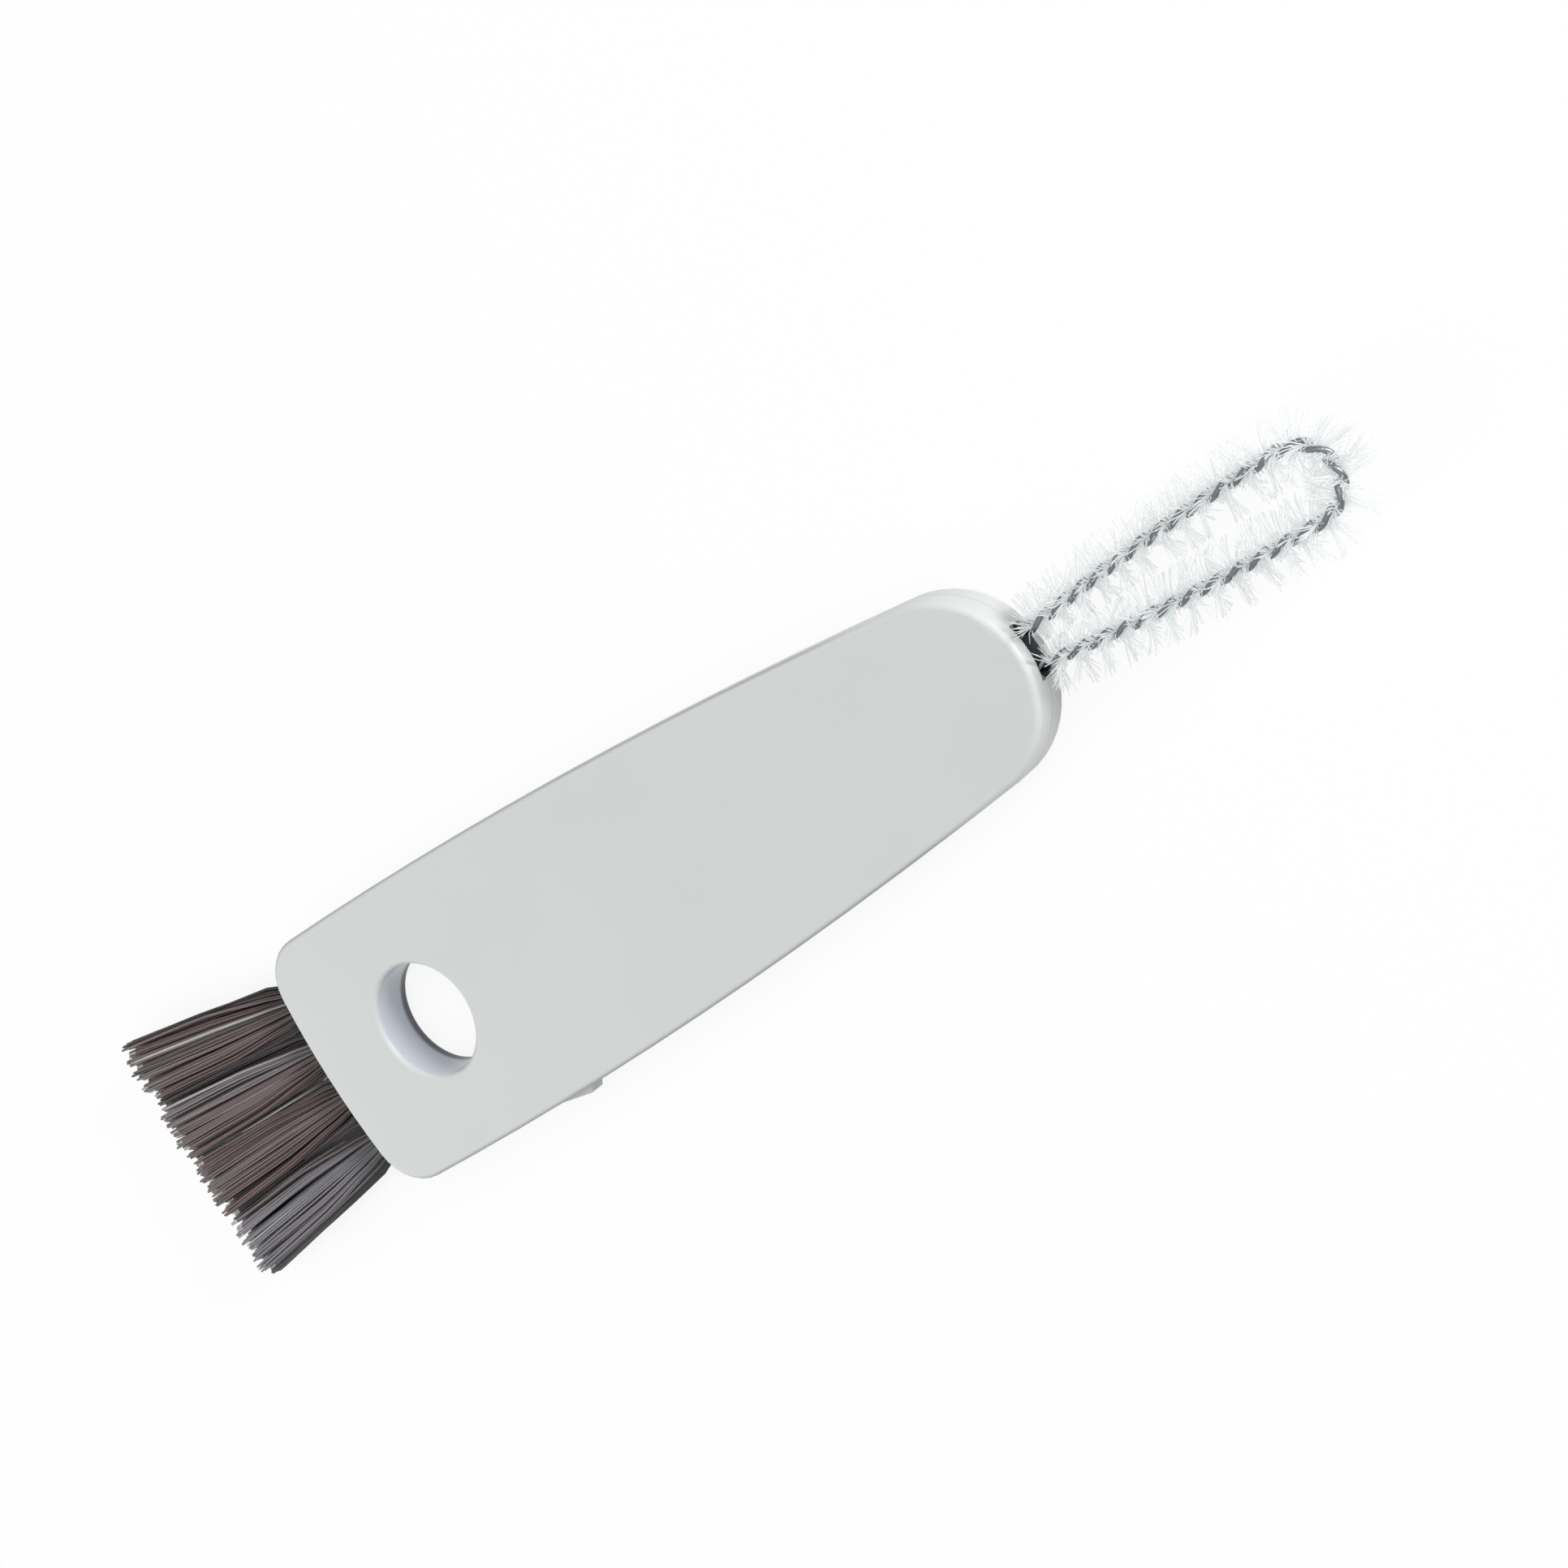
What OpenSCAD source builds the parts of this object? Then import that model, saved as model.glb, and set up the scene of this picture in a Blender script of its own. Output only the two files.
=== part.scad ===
// Double-ended crevice brush. A flat moulded handle carries a row of four stapled bristle tufts
// in its wide end and a loop of twisted-in-wire brush in its round tip.
// Millimetres. +X runs along the handle to the wire loop, +Y across it, +Z up through its front
// face. The origin is on the hanging hole's axis, at half the handle's thickness.

/* [Handle] */
// Length of the handle from the bristle end to the round tip
handle_len = 88; // [76:0.5:110]
// Width of the handle at its widest place
handle_w = 26.6; // [23:0.2:32]
// Thickness of the handle
handle_t = 4.8; // [4.3:0.1:6]
// Radius of the round tip
tip_r = 8.2; // [5:0.1:9]
// Distance from the hanging hole's axis to the bristle end
hole_setback = 15.5; // [15:0.5:20]
// Distance from the hanging hole's axis to the widest place, towards the bristles
widest_setback = 12; // [4:0.5:12]
// Radius of the shallow bow of the bristle end
end_bow_r = 75; // [40:1:200]
// Radius of the two corners beside the bristles, seen from the front
corner_r = 5; // [2:0.1:5]
// Rounding between the faces and the side wall
edge_r = 0.5; // [0.4:0.05:1.1]
// Mould draft of the side wall, both ways from the parting line at mid thickness
draft_angle = 1.5; // [0:0.1:3]
// Diameter of the hanging hole
hole_d = 11.2; // [6:0.2:12.6]
// Rounding of the hanging hole's two rims
hole_lip_r = 0.5; // [0.2:0.05:0.8]

/* [Gate nub] */
// Distance from the hanging hole's axis to the nub's broken end
nub_x = 12; // [6:0.5:40]
// Length of the nub's slope
nub_len = 4.6; // [2:0.1:8]
// Height of the nub above the side wall
nub_h = 0.7; // [0.3:0.1:1.5]
// Thickness of the nub
nub_t = 1.8; // [1:0.1:2.4]

/* [Bristle tufts] */
// Distance between neighbouring tufts at the handle
tuft_pitch = 5; // [4.6:0.1:5.4]
// Diameter of each blind tuft hole
tuft_hole_d = 3.2; // [2.2:0.1:3.4]
// Depth of each blind tuft hole
tuft_hole_depth = 6.5; // [5:0.1:7]
// Length of the bristles outside the handle
bristle_len = 24.6; // [12:0.2:40]
// Distance between neighbouring tufts at the bristle tips
tip_pitch = 7; // [5.5:0.1:9]
// Gap between neighbouring tufts at the bristle tips
tip_gap = 0.1; // [0.05:0.05:1.5]
// Thickness of one tuft at its tips
tuft_tip_t = 3.9; // [3:0.1:4]
// Strands in one tuft
tuft_strands = 70; // [30:1:75]
// Greatest difference in strand length, up or down
bristle_ragged = 0.6; // [0:0.1:1.5]

/* [Tuft anchors] */
// Thickness of the flat anchor wire that each tuft is folded over
anchor_t = 0.35; // [0.2:0.05:0.6]
// Length of an anchor along its hole
anchor_len = 2.2; // [1.5:0.1:3]
// Depth to which an anchor's two ends bite into the wall of the hole
anchor_bite = 0.2; // [0.1:0.05:0.4]

/* [Wire loop] */
// Reach of the loop beyond the round tip, to the centre of its wire pair
loop_reach = 26.6; // [18:0.2:40]
// Greatest width of the loop between the centres of its two legs
loop_w = 5.7; // [5:0.1:9]
// Distance between the two legs in the handle
tail_gap = 3; // [2.5:0.05:3]
// Radius of the bend that spreads the legs at the round tip
root_bend_r = 20; // [10:1:30]
// Diameter of one wire
wire_d = 0.45; // [0.35:0.01:0.5]
// Space between the two wires of the twisted pair, which the filaments fill
wire_gap = 0.16; // [0.14:0.01:0.2]
// Length of one full turn of the twist
twist_pitch = 3.84; // [3:0.02:6]

/* [Loop filaments] */
// Length of a filament from the middle of the wire pair to its tip
filament_reach = 2.9; // [1.5:0.1:4]
// Pairs of opposed filament strands along the loop
filament_pairs = 96; // [40:1:110]
// Width of a strand where it leaves the wires, along the loop
filament_root_w = 0.16; // [0.1:0.01:0.2]
// Width and thickness of a strand at its tip
filament_tip_w = 0.08; // [0.05:0.01:0.1]

/* [Pocket and clip] */
// Depth of the pocket in the round tip that holds the wire tails
pocket_depth = 8.5; // [6:0.1:12]
// Sheet thickness of the crimped clip round the tails
clip_t = 0.22; // [0.15:0.01:0.3]
// Length of the clip
clip_len = 5; // [3:0.1:5.5]

/* [Fits] */
// Clearance between the root of a tuft and its hole or its anchor
tuft_clear = 0.04; // [0.02:0.01:0.08]
// Clearance round the twisted tails inside the clip
tail_clear = 0.05; // [0.03:0.01:0.1]
// Clearance between the clip and its pocket
pocket_clear = 0.04; // [0.02:0.01:0.1]

/* [Hidden] */
$fn = 64;
over = 1;

plastic = "#cfd4d2";
bristle_brown = "#4b423d";
anchor_metal = "#b9a36a";
wire_steel = "#9b9da0";
nylon_white = "#eef1f1";
clip_steel = "#8d9093";

// Places along the handle
end_x = -hole_setback;
tip_x = handle_len - hole_setback;
half_t = handle_t / 2;

// Handle outline: each piece is an arc that is tangent to the next one
half_w = handle_w / 2;
tip_c = [tip_x - tip_r, 0];
flank_x = -widest_setback;
flank_r = (pow(tip_c.x - flank_x, 2) + pow(half_w, 2) - pow(tip_r, 2)) / (2 * (half_w - tip_r));
flank_c = [flank_x, half_w - flank_r];
end_c = [end_x + end_bow_r, 0];
corner_c = meet(flank_c, flank_r - corner_r, end_c, end_bow_r - corner_r);
tip_a = bearing(flank_c, tip_c);
flank_a = bearing(flank_c, corner_c);
end_a = bearing(end_c, corner_c);
wall_draft = (half_t - edge_r) * tan(draft_angle);
edge_steps = 4;

// Gate nub: the run of its steep break and the depth of its root in the side wall
nub_break = 0.5;
nub_root = 0.5;

// Bristle tufts
tuft_count = 4;
strand_root_r = 0.13;
strand_tip_r = 0.17;
strand_sink = 0.4;
strand_margin = 0.1;
tuft_root_r = tuft_hole_d / 2 - tuft_clear;
strand_spread_r = tuft_root_r - strand_root_r - strand_margin;
tip_spread = [(tip_pitch - tip_gap) / 2 - strand_tip_r, tuft_tip_t / 2 - strand_tip_r];
golden_angle = 137.508;
anchor_floor_gap = 0.8;

// Wire loop: half of its centre line is a straight tail, a bend that spreads the legs at the
// tip, a leg with a shallow bow that ends along X, and a quarter turn. The twist is left-handed,
// so its angle falls along the wires
bend_r = loop_w / 2;
bend_x = tip_x + loop_reach - bend_r;
leg_rise = bend_r - tail_gap / 2;
leg_run = bend_x - tip_x;
leg_a = 2 * atan(leg_rise / leg_run);
leg_bow_r = leg_run / sin(leg_a) - root_bend_r;
tail_floor_gap = 0.5;
tail_x = tip_x - pocket_depth + tail_floor_gap;
s_root = tip_x - tail_x;
s_leg = s_root + arc_len(root_bend_r, leg_a);
s_bend = s_leg + arc_len(leg_bow_r, leg_a);
s_half = s_bend + arc_len(bend_r, 90);
pair_r = (wire_d + wire_gap) / 2;
twist_r = pair_r + wire_d / 2;
twist_rate = -360 / twist_pitch;
twist_start = 90;
lay_angle = atan(pair_r * twist_rate * PI / 180);
wire_sides = 6;
rings_a_turn = 8;
wire_steps = ceil(2 * s_half / twist_pitch * rings_a_turn);

// Loop filaments: they start just outside the tip. Towards the table they end above the handle's
// back face, towards the other leg before its filaments, and inside the end of the loop within a
// share of its radius
core_half_w = 0.24;
core_half_t = 0.035;
filament_start = s_root + 0.5;
filament_span = 2 * (s_half - filament_start) - filament_root_w;
filament_step = filament_span / (filament_pairs - 1);
floor_gap = 0.1;
strand_gap = 0.13;
bend_share = 0.7;
filament_cut = rands(0.86, 1, 2 * filament_pairs, 11);
filament_lean = rands(-0.2, 0.2, 2 * filament_pairs, 12);

// Pocket and clip
barrel_d = 2 * (twist_r + tail_clear + clip_t);
clip_w = tail_gap + barrel_d;
clip_inset = 0.4;
clip_x = tail_x + clip_inset;

function bearing(a, b) = atan2(b.y - a.y, b.x - a.x);
function polar(c, r, a) = c + r * [cos(a), sin(a)];
function arc(c, r, a, b, n) = [for (i = [0 : n]) polar(c, r, a + (b - a) * i / n)];
function arc_len(r, a) = r * a * PI / 180;

// Where a circle of radius r round c meets one of radius q round d, on the left of c to d
function meet(c, r, d, q) =
    let (gap = norm(d - c), u = (d - c) / gap, a = (r * r - q * q + gap * gap) / (2 * gap))
    c + a * u + sqrt(r * r - a * a) * [-u.y, u.x];

// The handle's outline, drawn in by inset all round
function outline(inset) = concat(
    arc(tip_c, tip_r - inset, -tip_a, tip_a, 22),
    tail(arc(flank_c, flank_r - inset, tip_a, flank_a, 12)),
    tail(arc(corner_c, corner_r - inset, flank_a, end_a, 7)),
    tail(arc(end_c, end_bow_r - inset, end_a, 360 - end_a, 8)),
    tail(arc(mirrored(corner_c), corner_r - inset, 360 - end_a, 360 - flank_a, 7)),
    inner(arc(mirrored(flank_c), flank_r - inset, 360 - flank_a, 360 - tip_a, 12)));
function mirrored(p) = [p.x, -p.y];
function tail(list) = [for (i = [1 : len(list) - 1]) list[i]];
function inner(list) = [for (i = [1 : len(list) - 2]) list[i]];

// Height and inset of each level of the handle's edge, from the back face to the front face
function edge_levels() = let (
    rounding = [for (i = [0 : edge_steps]) let (a = 90 * i / edge_steps)
        [half_t - edge_r * (1 - cos(a)), wall_draft + edge_r * (1 - sin(a))]])
    concat([for (level = rounding) [-level[0], level[1]]], [[0, 0]],
        [for (i = [edge_steps : -1 : 0]) rounding[i]]);

// A solid through rings of points, each ring counter-clockwise as seen from the last one
module skin(rings) {
    n = len(rings[0]);
    last = len(rings) - 1;
    sides = [for (k = [0 : last - 1], i = [0 : n - 1]) let (a = k * n, j = (i + 1) % n)
        each [[a + i, a + n + i, a + n + j], [a + i, a + n + j, a + j]]];
    caps = [for (i = [1 : n - 2]) each [[0, i, i + 1], [last * n, last * n + i + 1, last * n + i]]];
    polyhedron([for (ring = rings) each ring], concat(sides, caps));
}

// Two rods of diameter d side by side, from x towards +X, that fill a width w
module two_rods(x, length, w, d) {
    for (side = [-1, 1])
        translate([x, side * (w - d) / 2, 0]) rotate([0, 90, 0]) cylinder(d = d, h = length);
}

// The same two rods with a flat web of thickness t between them
module webbed_rods(x, length, w, d, t) {
    two_rods(x, length, w, d);
    translate([x, -(w - d) / 2, -t / 2]) cube([length, w - d, t]);
}

// The hanging hole with its two rounded rims
module hanging_hole() {
    cylinder(d = hole_d, h = handle_t + 2 * over, center = true);
    for (turn = [0, 180])
        rotate([turn, 0, 0]) rotate_extrude() difference() {
            translate([hole_d / 2 - hole_lip_r, half_t - hole_lip_r])
                square([2 * hole_lip_r, hole_lip_r + over]);
            translate([hole_d / 2 + hole_lip_r, half_t - hole_lip_r]) circle(r = hole_lip_r);
        }
}

// Middle of tuft i's hole in its mouth, on the bowed bristle end
function tuft_row(i) = i - (tuft_count - 1) / 2;
function mouth(i) = let (y = tuft_row(i) * tuft_pitch)
    [end_c.x - sqrt(pow(end_bow_r, 2) - y * y), y, 0];

// A rod on the axis of tuft i's hole, from near below the mouth to far below it
module tuft_rod(i, d, near, far) {
    translate(mouth(i) + [near, 0, 0]) rotate([0, 90, 0]) cylinder(d = d, h = far - near);
}

// The place that an anchor fills, with clear added all round
module anchor_shape(i, clear = 0) {
    translate(mouth(i) + [tuft_hole_depth - anchor_floor_gap - anchor_len / 2, 0, 0])
        cube([anchor_len, tuft_hole_d + 2 * anchor_bite, anchor_t] + clear * [2, 2, 2], center = true);
}

// Remnant of the moulding gate: a slope along the side wall that ends in a steep break
module gate_nub() {
    foot = [for (x = [nub_x - nub_len, nub_x]) [x, -wall_y(x)]];
    linear_extrude(nub_t, center = true)
        polygon([foot[0], foot[1] - [nub_break, nub_h], foot[1], foot[1] + [0, nub_root],
            foot[0] + [0, nub_root]]);
}
function wall_y(x) = flank_c.y + sqrt(pow(flank_r, 2) - pow(x - flank_c.x, 2)) - wall_draft;

module handle() {
    color(plastic) difference() {
        union() {
            skin([for (level = edge_levels()) [for (p = outline(level[1])) [p.x, p.y, level[0]]]]);
            gate_nub();
        }
        hanging_hole();
        for (i = [0 : tuft_count - 1]) {
            tuft_rod(i, tuft_hole_d, -over, tuft_hole_depth);
            anchor_shape(i);
        }
        webbed_rods(tip_x - pocket_depth, pocket_depth + over, clip_w + 2 * pocket_clear,
            barrel_d + 2 * pocket_clear, barrel_d + 2 * pocket_clear);
    }
}

// One bristle strand: k counts outwards over the tuft in a sunflower pattern, which is round at
// the hole and fills out to a rounded rectangle at the tips
module strand(i, k, length) {
    a = k * golden_angle;
    place = sqrt((k + 0.5) / tuft_strands) * [cos(a), sin(a)];
    fill = place / pow(pow(cos(a), 4) + pow(sin(a), 4), 1 / 4);
    root = mouth(i) + strand_spread_r * [0, place.x, place.y];
    tip = [mouth(i).x - length, tuft_row(i) * tip_pitch + fill.x * tip_spread.x, fill.y * tip_spread.y];
    sunk = root + (root - tip) * strand_sink / length;
    skin([strand_ring(tip, strand_tip_r, a), strand_ring(sunk, strand_root_r, a)]);
}
function strand_ring(p, r, turn) = [for (a = [0, 120, 240]) p + r * [0, cos(turn + a), sin(turn + a)]];

module tuft(i) {
    lengths = rands(bristle_len - bristle_ragged, bristle_len + bristle_ragged, tuft_strands, 20 + i);
    color(bristle_brown) union() {
        difference() {
            tuft_rod(i, 2 * tuft_root_r, 0, tuft_hole_depth - tuft_clear);
            anchor_shape(i, tuft_clear);
        }
        for (k = [0 : tuft_strands - 1]) strand(i, k, lengths[k]);
    }
}

module tuft_anchor(i) {
    color(anchor_metal) anchor_shape(i);
}

// Point and heading at s along the loop's first half, from the tail to the end of the loop
function half_route(s) =
    s < s_root ? [tail_x + s, tail_gap / 2, 0] :
    s < s_leg ? let (a = (s - s_root) / root_bend_r * 180 / PI)
        [tip_x + root_bend_r * sin(a), tail_gap / 2 + root_bend_r * (1 - cos(a)), a] :
    s < s_bend ? let (a = leg_a - (s - s_leg) / leg_bow_r * 180 / PI)
        [bend_x - leg_bow_r * sin(a), bend_r - leg_bow_r * (1 - cos(a)), a] :
    let (a = (s - s_bend) / bend_r * 180 / PI)
        [bend_x + bend_r * sin(a), bend_r * cos(a), -a];

// The second half mirrors the first one
function route(s) = s <= s_half ? half_route(s) :
    let (p = half_route(2 * s_half - s)) [p.x, -p.y, 180 - p[2]];

// Frame at s: the centre, the direction of travel, outwards from the loop, and up
function centre(s) = let (p = route(s)) [p.x, p.y, 0];
function along(s) = let (h = route(s)[2]) [cos(h), sin(h), 0];
function outward(s) = let (h = route(s)[2]) [-sin(h), cos(h), 0];
function across(s, turn) = cos(turn) * outward(s) + sin(turn) * [0, 0, 1];

// Angle of wire a round the pair's centre line at s, and the centre of a wire that is phase ahead
function twist(s) = twist_start + s * twist_rate;
function wire_point(s, phase) = centre(s) + pair_r * across(s, twist(s) + phase);
function wire_ring(s, phase) = let (
    turn = twist(s) + phase,
    radial = across(s, turn),
    travel = cos(lay_angle) * along(s) + sin(lay_angle) * across(s, turn + 90),
    side = cross(travel, radial))
    [for (i = [0 : wire_sides - 1]) let (a = 360 * i / wire_sides)
        wire_point(s, phase) + wire_d / 2 * (cos(a) * radial + sin(a) * side)];

module loop_wire(phase) {
    color(wire_steel)
        skin([for (k = [0 : wire_steps]) wire_ring(2 * s_half * k / wire_steps, phase)]);
}

// Least distance between the two legs of one wire, on its ring centres, less the wire's diameter
leg_points = [for (k = [0 : floor(wire_steps / 2) - rings_a_turn]) 2 * s_half * k / wire_steps];
least_gap = min([for (s = leg_points, phase = [0, 180], shift = [-0.5 : 0.25 : 0.5])
    norm(wire_point(s, phase) - wire_point(2 * s_half - s + shift, phase))]) - wire_d;
echo(least_gap_between_the_legs_of_one_wire_mm = least_gap);

// How far a filament may go in the direction of a turn: shorter towards the table and where
// the filaments of the other leg begin
function filament_limit(s, turn) =
    let (inward = -cos(turn), down = -sin(turn), p = route(s),
        side_room = p.x > bend_x ? bend_share * bend_r : abs(p.y / cos(p[2])) - strand_gap)
    min(down > 0.01 ? (half_t - floor_gap) / down : filament_reach,
        inward > 0.01 ? side_room / inward : filament_reach);

// Corners of the flat core of crushed filaments between the wires, at s
function core_ring(s) = let (turn = twist(s) + 90, q = across(s, turn), n = across(s, turn - 90))
    [for (c = [[1, 1], [1, -1], [-1, -1], [-1, 1]])
        centre(s) + core_half_w * c[0] * q + core_half_t * c[1] * n];

// Corners of one strand's tip, on side 1 or -1 of the core
function filament_tip(s, side, k) = let (
    turn = twist(s) + 90 + (side > 0 ? 0 : 180),
    half = filament_tip_w / 2,
    reach = min(filament_reach * filament_cut[k], filament_limit(s, turn)),
    tip = centre(s) + reach * across(s, turn) + filament_lean[k] * reach / filament_reach * along(s))
    [for (c = [[-1, 1], [1, 1], [1, -1], [-1, -1]])
        tip + half * c[0] * along(s) + half * c[1] * side * across(s, twist(s))];

module loop_filaments() {
    last = filament_pairs - 1;
    starts = [for (k = [0 : last]) filament_start + k * filament_step];
    rings = [for (s = starts) each [core_ring(s), core_ring(s + filament_root_w)]];
    tips = [for (k = [0 : last], side = [1, -1])
        filament_tip(starts[k] + filament_root_w / 2, side, 2 * k + (1 - side) / 2)];
    tip_base = 4 * len(rings);
    flats = [for (j = [0 : len(rings) - 2]) let (a = 4 * j, b = a + 4)
        each concat(strip(b + 1, b + 2, a + 2, a + 1), strip(b + 3, b, a, a + 3))];
    bare_edges = [for (k = [0 : last - 1]) let (a = 8 * k + 4, b = a + 4)
        each concat(strip(b, b + 1, a + 1, a), strip(b + 2, b + 3, a + 3, a + 2))];
    strands = [for (k = [0 : last]) let (a = 8 * k, b = a + 4, t = tip_base + 8 * k)
        each concat(spike([a, b, b + 1, a + 1], t), spike([a + 2, b + 2, b + 3, a + 3], t + 4))];
    far = 4 * (len(rings) - 1);
    ends = concat(strip(0, 1, 2, 3), strip(far + 3, far + 2, far + 1, far));
    color(nylon_white) polyhedron([for (ring = concat(rings, tips)) each ring],
        concat(flats, bare_edges, strands, ends));
}

// Two triangles over a quad, and a strand from a quad root to the four points from t on
function strip(a, b, c, d) = [[a, b, c], [a, c, d]];
function spike(root, t) = concat(
    [for (i = [0 : 3]) let (j = (i + 1) % 4) each strip(root[i], root[j], t + j, t + i)],
    strip(t, t + 1, t + 2, t + 3));

module tail_clip() {
    color(clip_steel) difference() {
        webbed_rods(clip_x, clip_len, clip_w, barrel_d, 2 * clip_t);
        two_rods(clip_x - over, clip_len + 2 * over, clip_w - 2 * clip_t, barrel_d - 2 * clip_t);
    }
}

handle();
tuft(0);  // tuft_1
tuft(1);  // tuft_2
tuft(2);  // tuft_3
tuft(3);  // tuft_4
tuft_anchor(0);  // tuft_anchor_1
tuft_anchor(1);  // tuft_anchor_2
tuft_anchor(2);  // tuft_anchor_3
tuft_anchor(3);  // tuft_anchor_4
loop_wire(0);  // loop_wire_a
loop_wire(180);  // loop_wire_b
loop_filaments();
tail_clip();
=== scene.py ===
"""A double-ended crevice brush: the looks of its moulded handle, bristle tufts and twisted wire loop."""

import math

import bpy
import numpy as np
from bpy.props import FloatProperty, FloatVectorProperty, IntProperty, PointerProperty
from bpy.types import Operator, Panel, PropertyGroup
from mathutils import Matrix, Vector


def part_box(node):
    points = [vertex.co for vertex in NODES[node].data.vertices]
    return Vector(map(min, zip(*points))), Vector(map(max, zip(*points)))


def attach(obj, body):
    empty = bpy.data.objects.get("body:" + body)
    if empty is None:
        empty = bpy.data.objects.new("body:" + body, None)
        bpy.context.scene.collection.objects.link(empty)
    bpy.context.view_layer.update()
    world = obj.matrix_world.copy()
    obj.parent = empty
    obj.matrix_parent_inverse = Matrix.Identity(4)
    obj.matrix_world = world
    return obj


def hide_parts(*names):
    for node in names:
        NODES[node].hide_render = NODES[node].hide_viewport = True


bl_info = {
    "name": "Crevice brush",
    "version": (1, 0, 0),
    "blender": (4, 5, 0),
    "location": "3D View > Sidebar > Crevice brush",
    "description": "Dresses the handle, bristle tufts and wire loop of a crevice brush",
    "category": "Object",
}

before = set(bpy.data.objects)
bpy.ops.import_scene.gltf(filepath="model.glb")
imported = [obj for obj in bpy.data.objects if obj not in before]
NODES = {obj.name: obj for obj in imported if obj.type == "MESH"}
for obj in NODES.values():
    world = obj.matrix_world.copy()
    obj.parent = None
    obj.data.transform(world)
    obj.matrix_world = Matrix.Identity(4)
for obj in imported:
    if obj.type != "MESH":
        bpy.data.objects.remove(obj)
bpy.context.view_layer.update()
TUFTS = [f"tuft_{i}" for i in range(1, 5)]
ANCHORS = [f"tuft_anchor_{i}" for i in range(1, 5)]
HANDLE_LOW, HANDLE_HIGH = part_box("handle")

# Sizes of the part, in metres
MM = 0.001
HOLE_R = 5.6 * MM
END_BOW_R = 75 * MM
TUFT_PITCH = 5 * MM
TIP_PITCH = 7 * MM
TAIL_LENGTH = 8 * MM
TAIL_Y = 1.5 * MM
ROOT_BEND_R = 20 * MM
LOOP_BEND_R = 2.85 * MM
LOOP_REACH = 26.6 * MM
WIRE_GAP = 0.16 * MM

GOLDEN_ANGLE = math.radians(137.508)
REAL_EDGE = math.radians(32)
UP = np.array([0, 0, 1.0])
BRUSH_MIDDLE = (30 * MM, 0, 0)


def linear(hex_colour):
    """Linear RGB of an sRGB hex colour."""
    parts = [int(hex_colour[i : i + 2], 16) / 255 for i in (1, 3, 5)]
    return tuple(c / 12.92 if c <= 0.04045 else ((c + 0.055) / 1.055) ** 2.4 for c in parts)


def colour(name, description, hex_colour):
    """A colour that the user may change, with an sRGB hex default."""
    return FloatVectorProperty(
        name=name, description=description, subtype="COLOR", size=3, min=0, max=1,
        default=linear(hex_colour),
    )


class BrushHandleProperties(PropertyGroup):
    """Moulded handle."""

    plastic: colour("Plastic", "Body colour of the moulded handle", "#D2D5D3")
    grain: FloatProperty(
        name="Grain", description="Width of one grain of the spark-eroded mould texture",
        default=0.22 * MM, min=0.05 * MM, max=1 * MM, unit="LENGTH",
    )
    seam: FloatProperty(
        name="Seam", description="Width of the witness line at the parting plane",
        default=0.14 * MM, min=0.02 * MM, max=0.5 * MM, unit="LENGTH",
    )


class BrushTuftProperties(PropertyGroup):
    """Bristle tufts."""

    filaments: IntProperty(
        name="Filaments", description="Filaments that show in one tuft", default=320, min=20, max=800
    )
    thickness: FloatProperty(
        name="Thickness", description="Diameter of one bristle filament",
        default=0.29 * MM, min=0.05 * MM, max=0.5 * MM, unit="LENGTH",
    )
    clumps: IntProperty(
        name="Clumps", description="Clumps of filaments in one tuft", default=38, min=1, max=80
    )
    pull: FloatProperty(
        name="Pull", description="How far a filament is drawn towards its clump", default=0.55, min=0, max=1
    )
    ragged: FloatProperty(
        name="Ragged", description="Spread of the filament lengths",
        default=0.55 * MM, min=0, max=3 * MM, unit="LENGTH",
    )
    brown: colour("Brown", "Main bristle colour", "#5B4745")
    taupe: colour("Taupe", "Bristles between brown and grey", "#665856")
    dark: colour("Dark brown", "Darkest bristle colour", "#272022")
    grey: colour("Grey", "Grey bristles", "#777479")
    pale: colour("Pale grey", "Lightest bristles", "#ADAEAF")


class BrushLoopProperties(PropertyGroup):
    """Twisted wire loop."""

    wire: FloatProperty(
        name="Wire", description="Diameter of one wire",
        default=0.45 * MM, min=0.2 * MM, max=1 * MM, unit="LENGTH",
    )
    pitch: FloatProperty(
        name="Pitch", description="Length of one full turn of the twist",
        default=3.84 * MM, min=2 * MM, max=8 * MM, unit="LENGTH",
    )
    filaments: IntProperty(
        name="Filaments", description="Filaments clamped along the loop", default=900, min=50, max=3000
    )
    thickness: FloatProperty(
        name="Thickness", description="Diameter of one loop filament",
        default=0.08 * MM, min=0.03 * MM, max=0.3 * MM, unit="LENGTH",
    )
    reach: FloatProperty(
        name="Reach", description="Length of a filament from the wires to its tip",
        default=2.9 * MM, min=1 * MM, max=5 * MM, unit="LENGTH",
    )
    steel: colour("Steel", "Colour of the drawn wire", "#8C8F92")
    nylon: colour("Nylon", "Colour of the loop filaments", "#F1F3F3")


class BrushStageProperties(PropertyGroup):
    """Floor and light."""

    floor: colour("Floor", "Colour of the floor", "#C4C4C4")
    sky_tint: colour("Sky tint", "Colour of the light from all round", "#FDFEFF")
    sky: FloatProperty(
        name="Sky", description="Strength of the light from above", default=0.8, min=0, max=5
    )
    horizon: FloatProperty(
        name="Horizon", description="Strength of the light from the sides", default=0.18, min=0, max=5
    )
    lamp: FloatProperty(
        name="Lamp", description="Power of the soft lamp overhead",
        default=0.5, min=0, max=50, unit="POWER",
    )
    rim_lamp: FloatProperty(
        name="Rim lamp", description="Power of the low lamp beyond the wire loop",
        default=4.8, min=0, max=50, unit="POWER",
    )
    edge_lamp: FloatProperty(
        name="Edge lamp", description="Power of the low lamp beyond the bristles",
        default=0.9, min=0, max=50, unit="POWER",
    )


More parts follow.
